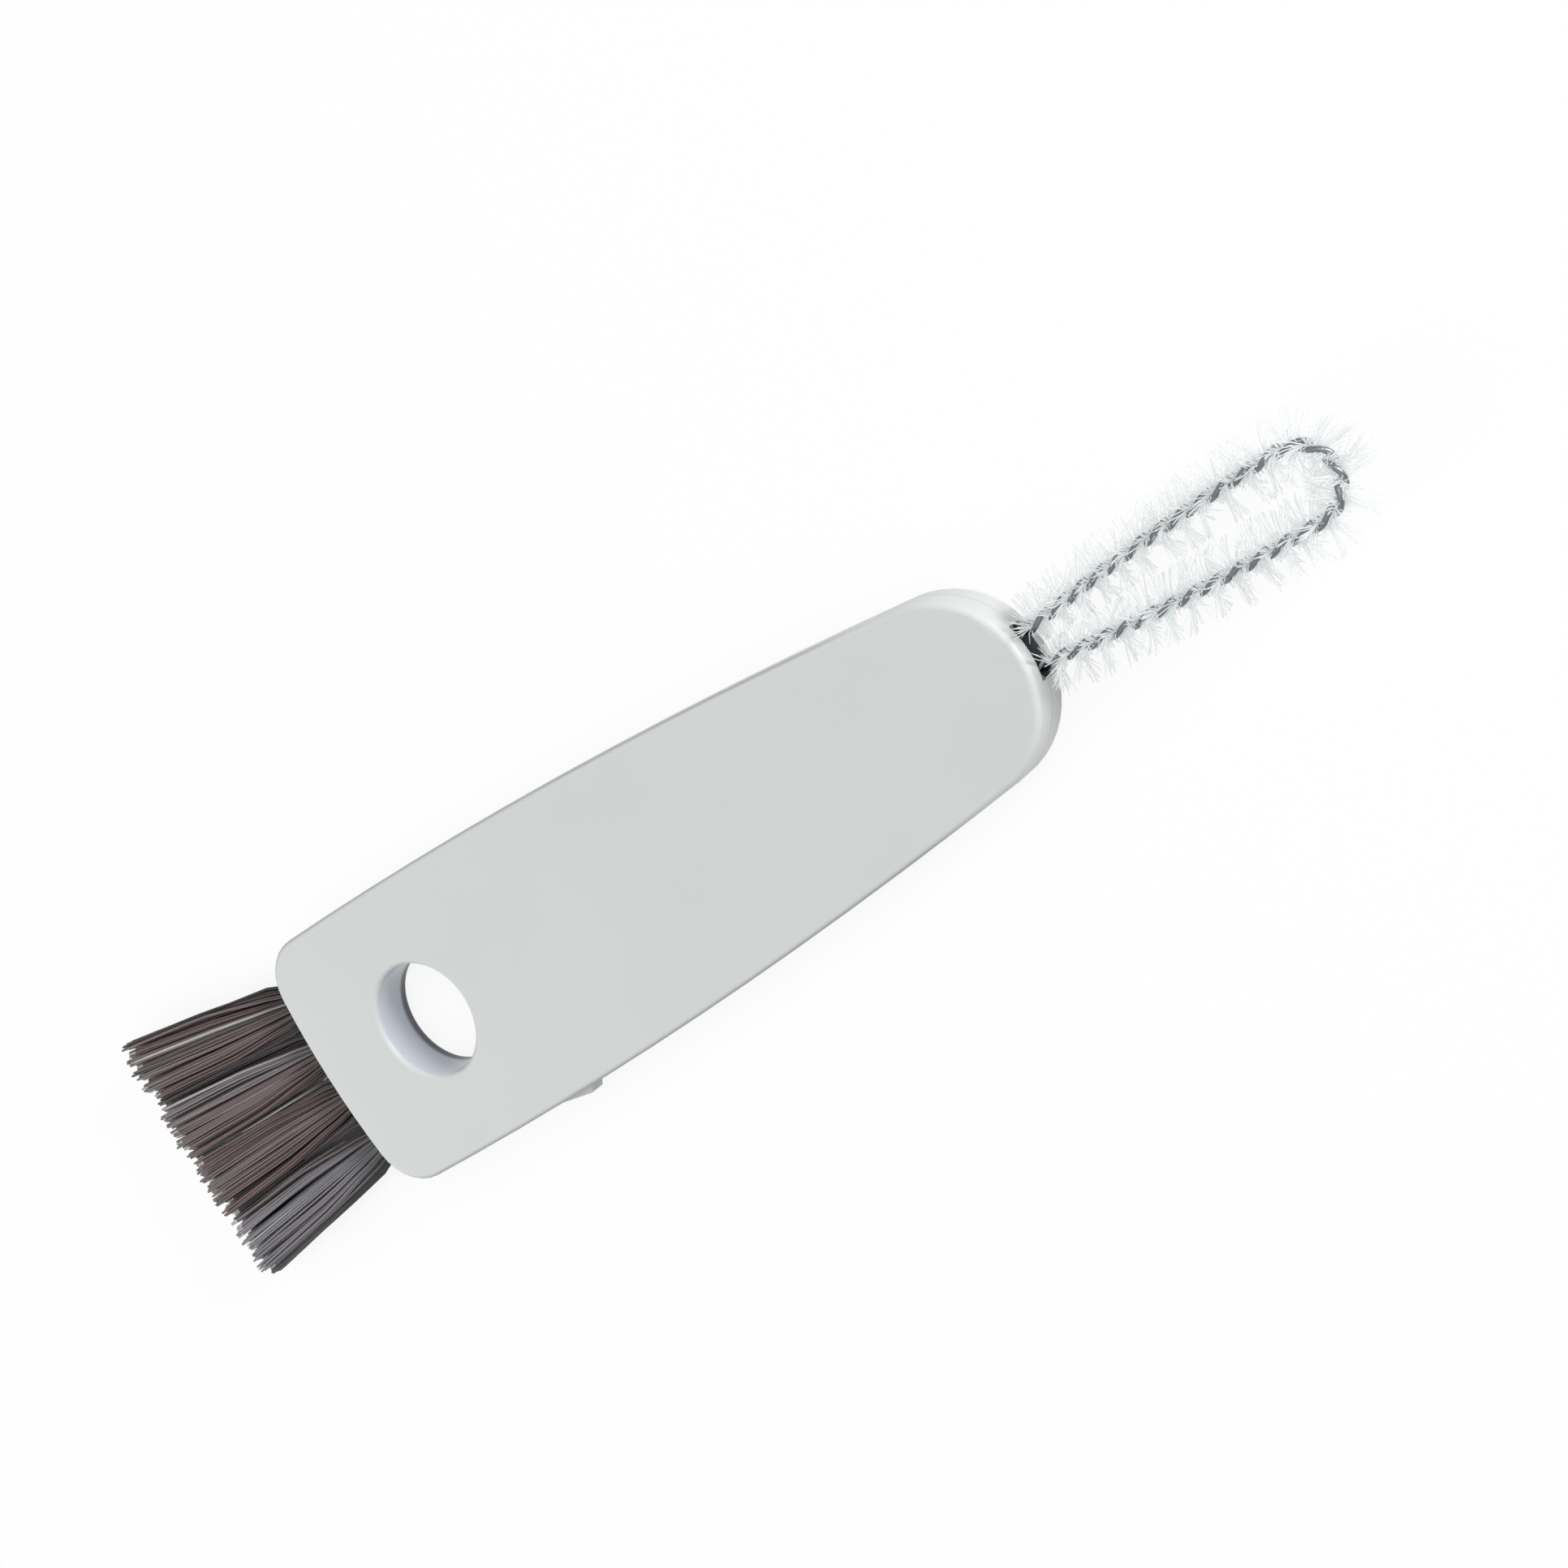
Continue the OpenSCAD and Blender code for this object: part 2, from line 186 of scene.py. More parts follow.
class BrushProperties(PropertyGroup):
    """Sizes and colours of the brush."""

    handle: PointerProperty(type=BrushHandleProperties)
    tufts: PointerProperty(type=BrushTuftProperties)
    loop: PointerProperty(type=BrushLoopProperties)
    stage: PointerProperty(type=BrushStageProperties)


# Materials

# Settings that recur, and the sockets of a Mix node that mixes colours
COLOURS = {"data_type": "RGBA"}
MIX_A, MIX_B, MIX_OUT = 6, 7, 2
SMOOTH = {"interpolation_type": "SMOOTHSTEP"}
TIMES = {"operation": "MULTIPLY"}
LARGER = {"operation": "MAXIMUM"}
ABOVE = {"operation": "GREATER_THAN"}
BELOW = {"operation": "LESS_THAN"}
ABSOLUTE = {"operation": "ABSOLUTE"}
LENGTH = {"operation": "LENGTH"}
WHITE = (1, 1, 1, 1)


def add_node(tree, kind, settings=None, links=None):
    """Adds a node. settings name its attributes or unlinked sockets, and links name the sockets that other
    sockets feed."""
    node = tree.nodes.new(kind)
    for key, value in (settings or {}).items():
        if isinstance(key, int) or key in node.inputs:
            node.inputs[key].default_value = value
        else:
            setattr(node, key, value)
    for key, source in (links or {}).items():
        tree.links.new(source, node.inputs[key])
    return node


def new_material(name):
    """An empty node material and its node tree."""
    material = bpy.data.materials.new(name)
    material.use_nodes = True
    material.node_tree.nodes.clear()
    return material, material.node_tree


def rgba(rgb, factor=1):
    """RGBA of a colour, made lighter or darker by a factor."""
    return (*(min(1, c * factor) for c in rgb), 1)


def painted_edge_shade(tree, axes, height, off_hole):
    """How much painted shade darkens the handle: most on the rounded edges, where it shows as a thin
    contour, some on the side walls, none on the faces, the tip and the hanging hole."""
    half_height = (HANDLE_HIGH.z - HANDLE_LOW.z) / 2
    off_face = add_node(
        tree, "ShaderNodeMapRange",
        {**SMOOTH, "From Min": half_height - 0.02 * MM, "From Max": half_height - 0.22 * MM},
        {"Value": height},
    )
    on_edge = add_node(
        tree, "ShaderNodeMapRange", {**SMOOTH, "From Min": 1.4 * MM, "From Max": 2 * MM, "To Min": 0.3},
        {"Value": height},
    )
    off_tip = add_node(
        tree, "ShaderNodeMapRange",
        {**SMOOTH, "From Min": HANDLE_HIGH.x - 8 * MM, "From Max": HANDLE_HIGH.x - 18 * MM},
        {"Value": axes.outputs["X"]},
    )
    on_flank = add_node(tree, "ShaderNodeMath", TIMES, {0: off_face.outputs[0], 1: off_tip.outputs[0]})
    kept_off = add_node(tree, "ShaderNodeMath", TIMES, {0: on_flank.outputs[0], 1: off_hole})
    grey = add_node(tree, "ShaderNodeMath", TIMES, {0: kept_off.outputs[0], 1: on_edge.outputs[0]})
    return grey.outputs[0]


def painted_shade(tree, axes, height, from_hole):
    """Where shade is painted: on the back rim of the hanging hole and in the pocket for the wire tails."""
    at_back = add_node(
        tree, "ShaderNodeMapRange", {**SMOOTH, "From Min": -1.05 * MM, "From Max": -1.6 * MM},
        {"Value": axes.outputs["Z"]},
    )
    near_hole = add_node(tree, "ShaderNodeMath", {**BELOW, 1: HOLE_R + 0.85 * MM}, {0: from_hole})
    on_rim = add_node(tree, "ShaderNodeMath", TIMES, {0: at_back.outputs[0], 1: near_hole.outputs[0]})
    side = add_node(tree, "ShaderNodeMath", ABSOLUTE, {0: axes.outputs["Y"]})
    in_height = add_node(tree, "ShaderNodeMath", {**BELOW, 1: 0.9 * MM}, {0: height})
    in_width = add_node(tree, "ShaderNodeMath", {**BELOW, 1: 2.4 * MM}, {0: side.outputs[0]})
    in_tip = add_node(
        tree, "ShaderNodeMath", {**ABOVE, 1: HANDLE_HIGH.x - 9 * MM}, {0: axes.outputs["X"]}
    )
    in_slot = add_node(tree, "ShaderNodeMath", TIMES, {0: in_height.outputs[0], 1: in_width.outputs[0]})
    in_pocket = add_node(tree, "ShaderNodeMath", TIMES, {0: in_slot.outputs[0], 1: in_tip.outputs[0]})
    in_shade = add_node(tree, "ShaderNodeMath", LARGER, {0: on_rim.outputs[0], 1: in_pocket.outputs[0]})
    return in_shade.outputs[0]


def witness_line(tree, width, height, off_hole):
    """Where the mould halves meet. The core pin of the hanging hole has no parting line, so the line keeps
    off the hole."""
    line = add_node(
        tree, "ShaderNodeMapRange",
        {**SMOOTH, "From Min": width * 0.15, "From Max": width / 2, "To Min": 1, "To Max": 0},
        {"Value": height},
    )
    return add_node(tree, "ShaderNodeMath", TIMES, {0: line.outputs[0], 1: off_hole}).outputs[0]


def moulded_relief(tree, grain_size, place, seam):
    """Bumps of the mould's grain and of the witness line."""
    grain = add_node(
        tree, "ShaderNodeTexNoise", {"Scale": 1 / grain_size, "Detail": 3, "Roughness": 0.6},
        {"Vector": place},
    )
    grain_bump = add_node(
        tree, "ShaderNodeBump", {"Strength": 0.12, "Distance": 0.01 * MM}, {"Height": grain.outputs["Fac"]}
    )
    seam_bump = add_node(
        tree, "ShaderNodeBump", {"Strength": 0.6, "Distance": 0.03 * MM},
        {"Height": seam, "Normal": grain_bump.outputs[0]},
    )
    return seam_bump.outputs[0]


def satin_moulded_polypropylene(sizes):
    """Injection moulded polypropylene from a spark-eroded mould: satin, a little translucent, with soft
    highlights that break up on the grain and a fine witness line at the parting plane."""
    material, tree = new_material("satin_moulded_polypropylene")
    place = add_node(tree, "ShaderNodeTexCoord").outputs["Object"]
    axes = add_node(tree, "ShaderNodeSeparateXYZ", links={0: place})
    height = add_node(tree, "ShaderNodeMath", ABSOLUTE, {0: axes.outputs["Z"]}).outputs[0]
    from_hole = add_node(tree, "ShaderNodeVectorMath", LENGTH, {0: place}).outputs["Value"]
    body = sizes.plastic

    # The flow of the melt leaves clouds some 14 mm wide
    clouds = add_node(
        tree, "ShaderNodeTexNoise", {"Scale": 1 / (14 * MM), "Detail": 2}, {"Vector": place}
    ).outputs["Fac"]
    cloudy = add_node(
        tree, "ShaderNodeMix", {**COLOURS, MIX_A: rgba(body, 0.97), MIX_B: rgba(body, 1.02)},
        {"Factor": clouds},
    )

    off_hole = add_node(tree, "ShaderNodeMath", {**ABOVE, 1: HOLE_R + 1.4 * MM}, {0: from_hole}).outputs[0]
    seam = witness_line(tree, sizes.seam, height, off_hole)
    seamed = add_node(
        tree, "ShaderNodeMix", {**COLOURS, MIX_B: rgba(body, 0.72)},
        {"Factor": seam, MIX_A: cloudy.outputs[MIX_OUT]},
    )
    # Painted shade darkens the rounded edges and side walls of the flanks into a thin contour
    edge_shaded = add_node(
        tree, "ShaderNodeMix", {**COLOURS, MIX_B: rgba(body, 0.66)},
        {"Factor": painted_edge_shade(tree, axes, height, off_hole), MIX_A: seamed.outputs[MIX_OUT]},
    )

    # The polished core pin leaves the wall of the hanging hole smoother; its blue-grey tint is painted
    # shade
    from_axis = add_node(tree, "ShaderNodeVectorMath", {**TIMES, 1: (1, 1, 0)}, {0: place})
    radius = add_node(tree, "ShaderNodeVectorMath", LENGTH, {0: from_axis.outputs["Vector"]})
    on_wall = add_node(
        tree, "ShaderNodeMath", {**BELOW, 1: HOLE_R + 0.02 * MM}, {0: radius.outputs["Value"]}
    ).outputs[0]
    wall_shade_painted = add_node(
        tree, "ShaderNodeMix", {**COLOURS, MIX_B: rgba(linear("#CBD1D8"))},
        {"Factor": on_wall, MIX_A: edge_shaded.outputs[MIX_OUT]},
    )
    # Painted shade, dark grey, on the back rim of the hanging hole and in the pocket for the wire tails
    shade_darkened = add_node(
        tree, "ShaderNodeMix", {**COLOURS, MIX_B: rgba(linear("#5E6064"))},
        {"Factor": painted_shade(tree, axes, height, from_hole), MIX_A: wall_shade_painted.outputs[MIX_OUT]},
    )

    satin = add_node(tree, "ShaderNodeMapRange", {"To Min": 0.36, "To Max": 0.46}, {"Value": clouds})
    roughness = add_node(
        tree, "ShaderNodeMix", {"data_type": "FLOAT", "B": 0.2}, {"Factor": on_wall, "A": satin.outputs[0]}
    )
    shader = add_node(
        tree, "ShaderNodeBsdfPrincipled",
        {
            "IOR": 1.49,
            "Subsurface Weight": 0.12,
            "Subsurface Radius": (1, 1, 1),
            "Subsurface Scale": 0.8 * MM,
        },
        {
            "Base Color": shade_darkened.outputs[MIX_OUT],
            "Roughness": roughness.outputs[0],
            "Normal": moulded_relief(tree, sizes.grain, place, seam),
        },
    )
    add_node(tree, "ShaderNodeOutputMaterial", links={"Surface": shader.outputs[0]})
    return material


def drawn_bristle(name, base, roughness):
    """Drawn polyamide monofilament, dyed through: smooth along its length, with a long soft highlight and
    small changes of tone from batch to batch."""
    material, tree = new_material(name)
    place = add_node(tree, "ShaderNodeTexCoord").outputs["Object"]
    # Tone drifts over some 3 mm along a filament and from one filament to the next
    along, across = 1 / (10 / 3 * MM), 1 / (0.4 * MM)
    drift = add_node(tree, "ShaderNodeMapping", {"Scale": (along, across, across)}, {"Vector": place})
    tone = add_node(tree, "ShaderNodeTexNoise", {"Scale": 1, "Detail": 2}, {"Vector": drift.outputs[0]})
    toned = add_node(
        tree, "ShaderNodeMix", {**COLOURS, MIX_A: rgba(base, 0.85), MIX_B: rgba(base, 1.15)},
        {"Factor": tone.outputs["Fac"]},
    )
    # Painted shade darkens the roots, and fades out 7 mm from the handle
    x = add_node(tree, "ShaderNodeSeparateXYZ", links={0: place}).outputs["X"]
    root_shade = add_node(
        tree, "ShaderNodeMapRange",
        {**SMOOTH, "From Min": HANDLE_LOW.x - 7 * MM, "From Max": HANDLE_LOW.x - 1.5 * MM, "To Max": 0.75},
        {"Value": x},
    )
    root_shaded = add_node(
        tree, "ShaderNodeMix", {**COLOURS, MIX_B: rgba(base, 0.35)},
        {"Factor": root_shade.outputs[0], MIX_A: toned.outputs[MIX_OUT]},
    )
    shader = add_node(
        tree, "ShaderNodeBsdfPrincipled", {"IOR": 1.53, "Roughness": roughness},
        {"Base Color": root_shaded.outputs[MIX_OUT]},
    )
    add_node(tree, "ShaderNodeOutputMaterial", links={"Surface": shader.outputs[0]})
    return material


def clear_nylon(base):
    """Clear drawn nylon monofilament: white, with a painted glow for the light that it scatters, thin
    enough to let some of what lies behind it through, with small glints along its length."""
    material, tree = new_material("clear_nylon")
    place = add_node(tree, "ShaderNodeTexCoord").outputs["Object"]
    haze = add_node(tree, "ShaderNodeTexNoise", {"Scale": 1 / (1.2 * MM), "Detail": 1}, {"Vector": place})
    roughness = add_node(
        tree, "ShaderNodeMapRange", {"To Min": 0.2, "To Max": 0.4}, {"Value": haze.outputs["Fac"]}
    )
    # The emission is painted light: the filaments glow a little, though they are no lamp
    surface = add_node(
        tree, "ShaderNodeBsdfPrincipled",
        {"Base Color": rgba(base), "IOR": 1.53, "Emission Color": rgba(base), "Emission Strength": 0.27},
        {"Roughness": roughness.outputs[0]},
    )
    through = add_node(tree, "ShaderNodeBsdfTranslucent", {"Color": rgba(base)})
    scatter = add_node(
        tree, "ShaderNodeMixShader", {0: 0.5}, {1: surface.outputs[0], 2: through.outputs[0]}
    )
    clear = add_node(tree, "ShaderNodeBsdfTransparent", {"Color": WHITE})
    mix = add_node(tree, "ShaderNodeMixShader", {0: 0.35}, {1: scatter.outputs[0], 2: clear.outputs[0]})
    add_node(tree, "ShaderNodeOutputMaterial", links={"Surface": mix.outputs[0]})
    return material


def drawn_metal(name, base, roughness):
    """Drawn or rolled metal: fine lines of the die or the rolls spread the highlight."""
    material, tree = new_material(name)
    place = add_node(tree, "ShaderNodeTexCoord").outputs["Object"]
    # Die lines some 0.05 mm apart, drawn 0.15 mm apart so that they show
    lines = add_node(
        tree, "ShaderNodeTexNoise", {"Scale": 1 / (0.15 * MM), "Detail": 2}, {"Vector": place}
    )
    lined = add_node(
        tree, "ShaderNodeMix", {**COLOURS, MIX_A: rgba(base, 0.8), MIX_B: rgba(base, 1.15)},
        {"Factor": lines.outputs["Fac"]},
    )
    shader = add_node(
        tree, "ShaderNodeBsdfPrincipled", {"Metallic": 1, "Roughness": roughness},
        {"Base Color": lined.outputs[MIX_OUT]},
    )
    add_node(tree, "ShaderNodeOutputMaterial", links={"Surface": shader.outputs[0]})
    return material


def white_painted_board(paint):
    """Matt painted board: the camera, metal and glass see it white, with a faint shadow, and its paint
    colours the light that it throws back."""
    material, tree = new_material("white_painted_board")
    rays = add_node(tree, "ShaderNodeLightPath").outputs
    mirrored = add_node(
        tree, "ShaderNodeMath", LARGER, {0: rays["Is Glossy Ray"], 1: rays["Is Transmission Ray"]}
    )
    seen = add_node(
        tree, "ShaderNodeMath", LARGER, {0: mirrored.outputs[0], 1: rays["Is Camera Ray"]}
    ).outputs[0]
    shade = add_node(
        tree, "ShaderNodeMix", {**COLOURS, MIX_A: rgba(paint), MIX_B: WHITE}, {"Factor": seen}
    )
    # What doesn't glow is left to show the shadow
    share = add_node(tree, "ShaderNodeMath", {**TIMES, 1: 0.86}, {0: seen})
    board = add_node(tree, "ShaderNodeBsdfDiffuse", links={"Color": shade.outputs[MIX_OUT]})
    glow = add_node(tree, "ShaderNodeEmission", {"Color": WHITE, "Strength": 1.0})
    mix = add_node(
        tree, "ShaderNodeMixShader", links={0: share.outputs[0], 1: board.outputs[0], 2: glow.outputs[0]}
    )
    add_node(tree, "ShaderNodeOutputMaterial", links={"Surface": mix.outputs[0]})
    return material


# Meshes


def strands_mesh(name, paths, radii, sides, slots, materials, tip_slots=None):
    """One mesh of closed tubes along paths (strand, point, xyz), with radii (strand, point). tip_slots are
    the material slots of the last stretch of each strand."""
    count, points = radii.shape
    tangent = np.gradient(paths, axis=1)
    tangent /= np.linalg.norm(tangent, axis=2, keepdims=True)
    helper = np.where(np.abs(tangent[:, :1, 2:]) > 0.8, [[[1.0, 0, 0]]], [[[0, 0, 1.0]]])
    normal = np.cross(tangent, helper)
    normal /= np.linalg.norm(normal, axis=2, keepdims=True)
    binormal = np.cross(tangent, normal)
    turn = np.arange(sides) * 2 * math.pi / sides
    ring = normal[:, :, None] * np.cos(turn)[:, None] + binormal[:, :, None] * np.sin(turn)[:, None]
    vertices = (paths[:, :, None] + ring * radii[:, :, None, None]).reshape(-1, 3)

    first = (np.arange(count) * points * sides)[:, None, None]
    row = first + (np.arange(points - 1) * sides)[None, :, None]
    side = np.arange(sides)[None, None, :]
    after = (side + 1) % sides
    quads = np.stack([row + side, row + after, row + sides + after, row + sides + side], axis=-1)
    quads = quads.reshape(-1, 4)
    starts = (first[:, 0] + np.arange(sides)[None, ::-1]).reshape(-1, sides)
    ends = (first[:, 0] + (points - 1) * sides + np.arange(sides)[None]).reshape(-1, sides)
    faces = [*quads.tolist(), *starts.tolist(), *ends.tolist()]
    mesh = bpy.data.meshes.new(name)
    mesh.from_pydata(vertices.tolist(), [], faces)

    tip_slots = slots if tip_slots is None else tip_slots
    stretches = np.repeat(slots[:, None], points - 1, axis=1)
    stretches[:, -1] = tip_slots
    face_slots = np.concatenate([np.repeat(stretches.ravel(), sides), slots, tip_slots])
    mesh.polygons.foreach_set("material_index", face_slots.astype(np.int32))
    smooth = np.ones(len(faces), bool)
    smooth[len(quads) :] = False
    mesh.polygons.foreach_set("use_smooth", smooth)
    for material in materials:
        mesh.materials.append(material)
    mesh.update()
    return mesh


def add_piece(name, mesh, node):
    """Links a piece that rides on the brush and stands for a CAD node."""
    piece = bpy.data.objects.new(name, mesh)
    bpy.context.scene.collection.objects.link(piece)
    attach(piece, "root")
    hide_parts(node)


def smoothing_tree():
    """Joins the facets of a CAD node and shades it smooth, apart from its real edges."""
    tree = bpy.data.node_groups.new("smooth_moulded_faces", "GeometryNodeTree")
    tree.interface.new_socket("Geometry", in_out="INPUT", socket_type="NodeSocketGeometry")
    tree.interface.new_socket("Geometry", in_out="OUTPUT", socket_type="NodeSocketGeometry")
    start = add_node(tree, "NodeGroupInput")
    joined = add_node(
        tree, "GeometryNodeMergeByDistance", {"Distance": 0.002 * MM}, {"Geometry": start.outputs[0]}
    )
    smooth = add_node(
        tree, "GeometryNodeSetShadeSmooth", {"domain": "FACE", "Shade Smooth": True}, {0: joined.outputs[0]}
    )
    angle = add_node(tree, "GeometryNodeInputMeshEdgeAngle")
    gentle = add_node(
        tree, "FunctionNodeCompare", {"data_type": "FLOAT", **BELOW, 1: REAL_EDGE},
        {0: angle.outputs["Unsigned Angle"]},
    )
    edges = add_node(
        tree, "GeometryNodeSetShadeSmooth", {"domain": "EDGE"},
        {0: smooth.outputs[0], "Shade Smooth": gentle.outputs[0]},
    )
    add_node(tree, "NodeGroupOutput", links={0: edges.outputs[0]})
    return tree


def dress_node(name, material, tree):
    """Gives a CAD node its material and smooth shading."""
    node = NODES[name]
    node.data.materials[0] = material
    node.modifiers.new("Smooth faces", "NODES").node_group = tree
    weighted = node.modifiers.new("Weighted normals", "WEIGHTED_NORMAL")
    weighted.keep_sharp = True


def smooth_step(t, low, high):
    """0 below low, 1 above high, and a smooth rise between them."""
    t = np.clip((t - low) / (high - low), 0, 1)
    return t * t * (3 - 2 * t)


def sunflower(count, turn=0):
    """Points spread evenly over the unit disc, turned by an angle."""
    k = np.arange(count)
    angle = k * GOLDEN_ANGLE + turn
    return np.sqrt((k + 0.5) / count)[:, None] * np.stack([np.cos(angle), np.sin(angle)], axis=1)


class LoopPath:
    """Centre line of the twisted pair, from one tail round the loop to the other: a straight tail, a bend
    at the root, a long bowed leg and a quarter of a circle, then the same again mirrored."""

    def __init__(self):
        self.tip = HANDLE_HIGH.x
        self.tail_x = self.tip - TAIL_LENGTH
        self.bend_x = self.tip + LOOP_REACH - LOOP_BEND_R
        run = self.bend_x - self.tip
        self.leg_angle = 2 * math.atan((LOOP_BEND_R - TAIL_Y) / run)
        self.leg_r = run / math.sin(self.leg_angle) - ROOT_BEND_R
        self.s_root = self.tip - self.tail_x
        self.s_leg = self.s_root + ROOT_BEND_R * self.leg_angle
        self.s_bend = self.s_leg + self.leg_r * self.leg_angle
        self.half = self.s_bend + LOOP_BEND_R * math.pi / 2

    def twist(self, s, pitch):
        """Angle of the first wire round the centre line: left-handed, and upright at the tail."""
        return math.pi / 2 - s * 2 * math.pi / pitch

    def half_route(self, s):
        """Place and heading at s, up to the middle of the loop."""
        if s < self.s_root:
            return self.tail_x + s, TAIL_Y, 0.0
        if s < self.s_leg:
            a = (s - self.s_root) / ROOT_BEND_R
            return self.tip + ROOT_BEND_R * math.sin(a), TAIL_Y + ROOT_BEND_R * (1 - math.cos(a)), a
        if s < self.s_bend:
            a = self.leg_angle - (s - self.s_leg) / self.leg_r
            return self.bend_x - self.leg_r * math.sin(a), LOOP_BEND_R - self.leg_r * (1 - math.cos(a)), a
        a = (s - self.s_bend) / LOOP_BEND_R
        return self.bend_x + LOOP_BEND_R * math.sin(a), LOOP_BEND_R * math.cos(a), -a

    def at(self, s):
        """Centre, heading and outward direction at s."""
        x, y, heading = self.half_route(min(s, 2 * self.half - s))
        if s > self.half:
            y, heading = -y, math.pi - heading
        along = np.array([math.cos(heading), math.sin(heading), 0])
        outward = np.array([-math.sin(heading), math.cos(heading), 0])
        return np.array([x, y, 0]), along, outward


# Operators


class BRUSH_OT_handle(Operator):
    """Finish the moulded handle, its anchors and its clip"""

    bl_idname = "brush.handle"
    bl_label = "Handle"

    def execute(self, context):
        tree = smoothing_tree()
        dress_node("handle", satin_moulded_polypropylene(context.scene.brush.handle), tree)
        brass = drawn_metal("flattened_brass_wire", linear("#B9A06A"), 0.35)
        for name in ANCHORS:
            dress_node(name, brass, tree)
        dress_node("tail_clip", drawn_metal("rolled_steel_strip", linear("#8E9092"), 0.4), tree)
        return {"FINISHED"}


class BRUSH_OT_tufts(Operator):
    """Build the four tufts of bristle"""

    bl_idname = "brush.tufts"
    bl_label = "Bristle tufts"

    BROWN, DARK, GREY, PALE, TAUPE = range(5)
    SIDES = 6
    SEED = 40
    CORE_EVERY = 4
    START_DEPTH = 0.8 * MM
    HEIGHT_LIMIT = 1.9 * MM

    def execute(self, context):
        sizes = context.scene.brush.tufts
        materials = [
            drawn_bristle("brown_polyamide_bristle", sizes.brown, 0.4),
            drawn_bristle("dark_polyamide_bristle", sizes.dark, 0.45),
            drawn_bristle("grey_polyamide_bristle", sizes.grey, 0.35),
            drawn_bristle("pale_polyamide_bristle", sizes.pale, 0.3),
            drawn_bristle("taupe_polyamide_bristle", sizes.taupe, 0.4),
        ]
        for index, node in enumerate(TUFTS):
            random = np.random.default_rng(self.SEED + index)
            place, clump, is_core = self.places(sizes, index, random)
            # The filaments at the two sides of a tuft lie low and are painted dark as shade, so a dark
            # wedge runs out between two tufts
            at_side = smooth_step(np.abs(place[:, :1]), 0.7, 0.9)
            paths = self.paths(sizes, index, place, clump, is_core, at_side, random)
            radii = np.full(paths.shape[:2], sizes.thickness / 2)
            radii[:, -1] *= 0.75
            slots, tip_slots = self.slots(sizes, index, clump, is_core, at_side[:, 0], random)
            name = f"{node}_filaments"
            mesh = strands_mesh(name, paths, radii, self.SIDES, slots, materials, tip_slots)
            add_piece(name, mesh, node)
        return {"FINISHED"}

    def places(self, sizes, index, random):
        """Place of each filament on the unit disc, its clump, and whether it is in the core. A filament is
        drawn towards the nearest clump. Every fourth one is in the core instead, coloured dark as painted
        shade, which closes the gaps and runs from side to side at half height."""
        disc = sunflower(sizes.filaments)
        centres = sunflower(sizes.clumps, index)
        clump = np.linalg.norm(disc[:, None] - centres[None], axis=2).argmin(axis=1)
        place = disc + sizes.pull * (centres[clump] - disc) + random.normal(0, 0.02, disc.shape)
        is_core = np.arange(sizes.filaments) % self.CORE_EVERY == self.CORE_EVERY - 1
        place[is_core, 0] = random.uniform(-1, 1, is_core.sum())
        place[is_core, 1] = random.uniform(-0.35, 0.35, is_core.sum())
        return place, clump, is_core

    def paths(self, sizes, index, place, clump, is_core, at_side, random):
        """Path of each filament, round where it leaves the hole and squared off at the tips."""
        angle = np.arctan2(place[:, 1], place[:, 0])
        square = place / (np.abs(np.cos(angle)) ** 4 + np.abs(np.sin(angle)) ** 4)[:, None] ** 0.25
        square[is_core] = place[is_core]

        # Shares of the length, closer together near the hole, and a last short stretch for the cut end
        t = np.append(np.linspace(0, 1, 10) ** 1.25, 1.0)
        t[-2] = 0.96
        squared = smooth_step(t, 0.05, 0.6)
        wedge = 1 - 0.85 * at_side * (1 - smooth_step(t, 0.3, 0.6))
        drawn_in = 1 - 0.24 * (1 - at_side) * (1 - smooth_step(t, 0.08, 0.5))
        across = place[:, :1] * (1 - squared) + square[:, :1] * squared
        up = (place[:, 1:] * (1 - squared) + square[:, 1:] * squared) * wedge

        # Half the size of the tuft: in the hole, what the flare outside it adds, and what the fan adds
        flare = smooth_step(t, 0.0, 0.11)
        half_width = (1.45 + 1.12 * flare + 0.93 * t) * MM
        half_height = (1.4 + 0.15 * flare + 0.35 * t) * MM

        row = index - (len(TUFTS) - 1) / 2
        mouth = HANDLE_LOW.x + END_BOW_R - math.sqrt(END_BOW_R**2 - (row * TUFT_PITCH) ** 2)
        start = mouth + self.START_DEPTH
        # The longest filaments end half a millimetre outside the CAD's tuft
        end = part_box(TUFTS[index])[0].x + sizes.ragged - 0.5 * MM
        tips = end + random.uniform(-1, 1, len(place)) * sizes.ragged * 0.6
        tips += random.uniform(-1, 1, sizes.clumps)[clump] * sizes.ragged * 0.4
        bow = np.sin(math.pi * t)
        wave = random.normal(0, 0.07 * MM, (2, len(place), 1)) * bow
        wave += random.normal(0, 0.09 * MM, (2, sizes.clumps, 1))[:, clump] * bow**2

        x = start + (tips[:, None] - start) * t
        y = row * (TUFT_PITCH + (TIP_PITCH - TUFT_PITCH) * t) + across * half_width * drawn_in + wave[0]
        z = np.clip(up * half_height + wave[1], -self.HEIGHT_LIMIT, self.HEIGHT_LIMIT)
        if index == 0:
            # The outer side of the row's first tuft slopes out towards the table
            y += smooth_step(-across, 0.3, 1) * t * (0.3 * z - 0.4 * MM)
        return np.stack([x, y, z], axis=-1)

    def slots(self, sizes, index, clump, is_core, at_side, random):
        """Material slot of each filament and of its cut end. A clump has a tone of its own, and the tufts
        hold more grey towards the first of the row, as a painted reflection."""
        count = len(clump)
        tone = 0.7 * random.uniform(0, 1, sizes.clumps)[clump] + 0.3 * random.uniform(0, 1, count)
        towards_first = len(TUFTS) - 1 - index
